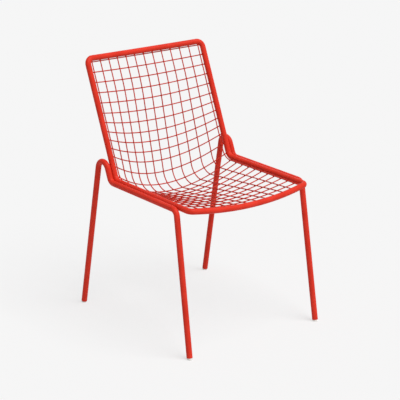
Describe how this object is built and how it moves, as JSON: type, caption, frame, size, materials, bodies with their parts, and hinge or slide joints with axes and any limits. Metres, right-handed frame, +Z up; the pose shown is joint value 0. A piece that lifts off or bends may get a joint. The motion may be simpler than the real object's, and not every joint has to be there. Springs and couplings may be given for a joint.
{
  "type": "stacking chair",
  "caption": "Armless stacking chair: a bent tube frame carries a bucket seat and back of welded wire grid, on bent tube leg frames with plastic foot glides.",
  "frame": {"origin": "on the floor, under the middle of the chair's bounding box", "axes": "+Z up, the sitter faces -Y, +X to the sitter's left"},
  "size_m": [0.504, 0.5882, 0.8022],
  "materials": {
    "powder_coat": "satin orange-red powder coat on steel",
    "foot_glide": "matt light grey moulded plastic"
  },
  "bodies": {
    "root": {"cross_wire_01": "powder_coat", "cross_wire_02": "powder_coat", "cross_wire_03": "powder_coat", "cross_wire_04": "powder_coat", "cross_wire_05": "powder_coat", "cross_wire_06": "powder_coat", "cross_wire_07": "powder_coat", "cross_wire_08": "powder_coat", "cross_wire_09": "powder_coat", "cross_wire_10": "powder_coat", "cross_wire_11": "powder_coat", "cross_wire_12": "powder_coat", "cross_wire_13": "powder_coat", "cross_wire_14": "powder_coat", "cross_wire_15": "powder_coat", "cross_wire_16": "powder_coat", "cross_wire_17": "powder_coat", "cross_wire_18": "powder_coat", "cross_wire_19": "powder_coat", "cross_wire_20": "powder_coat", "cross_wire_21": "powder_coat", "cross_wire_22": "powder_coat", "cross_wire_23": "powder_coat", "cross_wire_24": "powder_coat", "cross_wire_25": "powder_coat", "foot_glides": "foot_glide", "leg_frame_left": "powder_coat", "leg_frame_right": "powder_coat", "long_wire_01": "powder_coat", "long_wire_02": "powder_coat", "long_wire_03": "powder_coat", "long_wire_04": "powder_coat", "long_wire_05": "powder_coat", "long_wire_06": "powder_coat", "long_wire_07": "powder_coat", "long_wire_08": "powder_coat", "long_wire_09": "powder_coat", "long_wire_10": "powder_coat", "long_wire_11": "powder_coat", "long_wire_12": "powder_coat", "long_wire_13": "powder_coat", "seat_back_frame": "powder_coat", "weld_beads_left": "powder_coat", "weld_beads_right": "powder_coat"}
  },
  "joints": []
}
